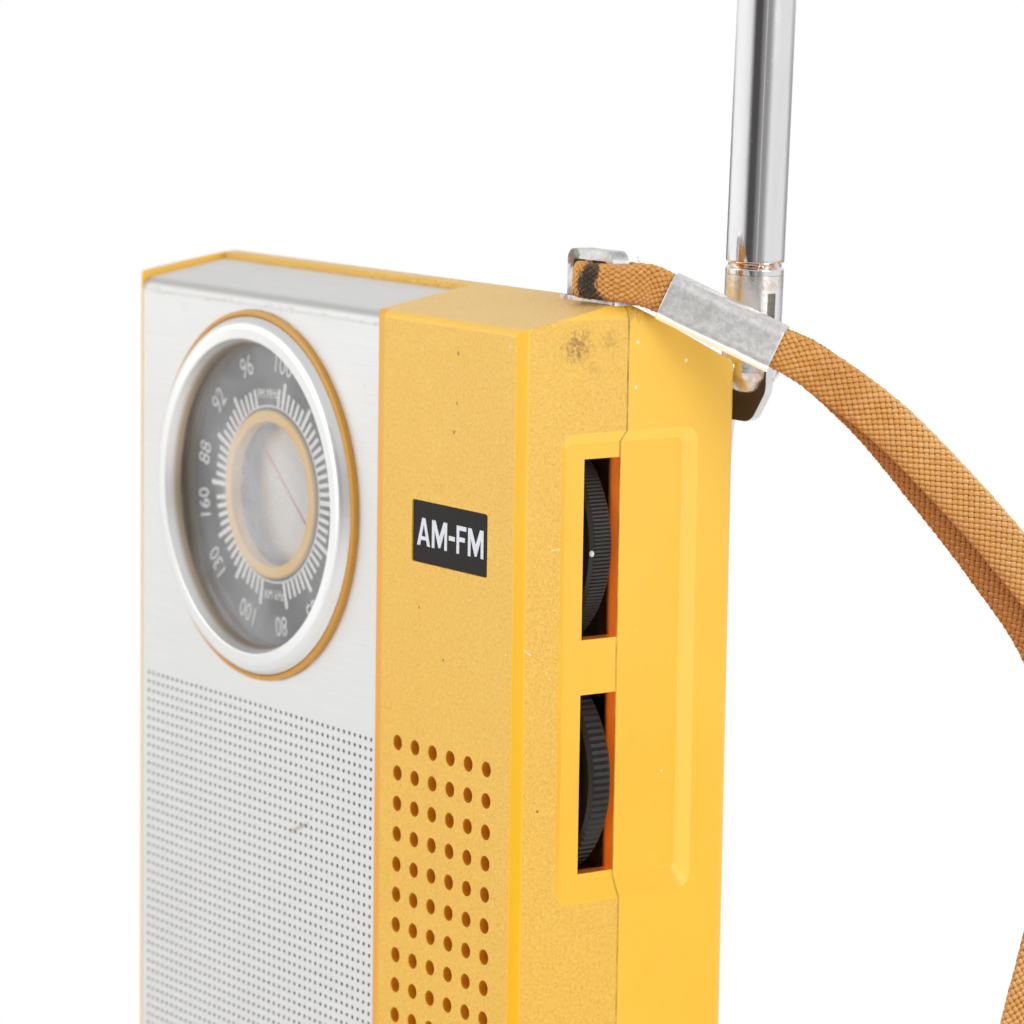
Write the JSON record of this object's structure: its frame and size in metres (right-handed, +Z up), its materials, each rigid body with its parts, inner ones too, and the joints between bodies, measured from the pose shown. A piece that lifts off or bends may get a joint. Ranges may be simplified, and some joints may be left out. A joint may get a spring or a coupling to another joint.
{
  "type": "transistor pocket radio",
  "caption": "Upright pocket radio: two-shell plastic case, round tuning dial, perforated metal grille, side thumbwheels, folding telescopic antenna and wrist strap.",
  "frame": {"origin": "middle of the bottom face, on the parting plane between the two case shells", "axes": "+Z up, the dial and grille face -Y, the thumbwheels are on the +X side"},
  "size_m": [0.1299, 0.0632, 0.2006],
  "materials": {
    "orange_case": "satin moulded plastic, leather grain on the raised front panel",
    "orange_ring": "smooth moulded plastic",
    "brushed_plate": "brushed, perforated, clear lacquered",
    "grille_cloth": "fine woven cloth",
    "badge": "gloss black with white print",
    "satin_chrome": "satin plated",
    "bright_chrome": "bright plated, worn",
    "ferrule_metal": "matt pickled plating",
    "lens": "clear acrylic",
    "dial_black": "black printed disc with white scale",
    "black_plastic": "moulded, knurled rim",
    "white_nylon": "natural nylon",
    "cord": "waxed cord",
    "board": "phenolic laminate with copper tracks",
    "ferrite": "sintered ferrite",
    "copper_wire": "enamelled copper wire",
    "tin_cans": "drawn cans",
    "component_blue": "shrink sleeve",
    "component_black": "moulded epoxy",
    "component_tan": "painted bodies with colour bands",
    "steel": "zinc plated",
    "cone_paper": "pressed paper",
    "cell_sleeve": "plain printed sleeve over a can",
    "lead_red": "insulated wire",
    "strap_braid": "flat braided cord"
  },
  "bodies": {
    "case": {"front_shell": "orange_case", "rear_shell": "orange_case", "front_plate": "brushed_plate", "grille_cloth": "grille_cloth", "band_badge": "badge", "dial_bezel": "satin_chrome", "dial_lens": "lens", "dial_scale": "dial_black", "dial_inner_ring": "orange_ring", "tuning_capacitor": "white_nylon", "tuning_axle": "steel", "tuning_axle_clip": "steel", "volume_pot": "black_plastic", "dial_cord": "cord", "circuit_board": "board", "ferrite_rod": "ferrite", "ferrite_coil": "copper_wire", "ferrite_holders": "white_nylon", "if_transformers": "tin_cans", "electrolytic_capacitors": "component_blue", "transistors": "component_black", "resistors": "component_tan", "output_transformer": "component_black", "earphone_socket": "component_black", "band_switch_body": "component_black", "board_screws": "steel", "speaker_frame": "steel", "speaker_cone": "cone_paper", "speaker_voice_coil": "copper_wire", "speaker_magnet": "ferrite", "speaker_clips": "steel", "battery_cells": "cell_sleeve", "battery_springs": "steel", "battery_contacts": "steel", "speaker_leads": "lead_red", "battery_leads": "lead_red", "antenna_lead": "lead_red", "case_screws": "steel", "strap_bracket": "bright_chrome", "antenna_bracket": "bright_chrome", "antenna_bracket_screw": "steel"},
    "dial_pointer": {"dial_pointer_disc": "satin_chrome", "dial_shaft": "steel", "dial_drum": "white_nylon"},
    "tuning_knob": {"tuning_wheel": "black_plastic"},
    "volume_knob": {"volume_wheel": "black_plastic", "volume_shaft": "steel", "volume_screw": "steel"},
    "band_slider": {"band_switch_slider": "black_plastic"},
    "battery_cover": {"battery_door": "orange_case"},
    "strap": {"wrist_strap": "strap_braid", "strap_ferrule": "ferrule_metal"},
    "antenna_base": {"antenna_knuckle": "bright_chrome", "antenna_pin": "bright_chrome", "antenna_tube_1": "bright_chrome"},
    "antenna_second": {"antenna_tube_2": "bright_chrome"},
    "antenna_third": {"antenna_tube_3": "bright_chrome"},
    "antenna_last": {"antenna_rod": "bright_chrome", "antenna_tip": "bright_chrome"}
  },
  "joints": [
    {"name": "tuning_spin", "type": "hinge", "parent": "case", "child": "tuning_knob", "pos_m": [0.0285, -0.0024, 0.10105], "axis": [0, 1, 0], "range_deg": [-150, 150]},
    {"name": "pointer_spin", "type": "hinge", "parent": "case", "child": "dial_pointer", "pos_m": [-0.0135, -0.0062, 0.1011], "axis": [0, 1, 0], "range_deg": [-90.5, 90.5]},
    {"name": "volume_spin", "type": "hinge", "parent": "case", "child": "volume_knob", "pos_m": [0.0291, -0.0024, 0.075], "axis": [0, 1, 0], "range_deg": [0, 290]},
    {"name": "band_slide", "type": "slide", "parent": "case", "child": "band_slider", "axis": [1, 0, 0], "range_m": [0, 0.005]},
    {"name": "battery_door_off", "type": "slide", "parent": "case", "child": "battery_cover", "axis": [0, 1, 0], "range_m": [0, 0.03]},
    {"name": "strap_swing", "type": "hinge", "parent": "case", "child": "strap", "pos_m": [0.0398, 0, 0.13], "axis": [0, 0, 1], "range_deg": [-25, 3]},
    {"name": "antenna_fold", "type": "hinge", "parent": "case", "child": "antenna_base", "pos_m": [0.03945, 0.01895, 0.12], "axis": [0, 1, 0], "range_deg": [-92, 43]},
    {"name": "antenna_extend_1", "type": "slide", "parent": "antenna_base", "child": "antenna_second", "axis": [0.0349, 0, 0.9994], "range_m": [0, 0.05]},
    {"name": "antenna_extend_2", "type": "slide", "parent": "antenna_second", "child": "antenna_third", "axis": [0.0349, 0, 0.9994], "range_m": [0, 0.05]},
    {"name": "antenna_extend_3", "type": "slide", "parent": "antenna_third", "child": "antenna_last", "axis": [0.0349, 0, 0.9994], "range_m": [0, 0.05]}
  ],
  "couplings": [
    {"joint": "pointer_spin", "follows": "tuning_spin", "ratio": 0.6}
  ]
}
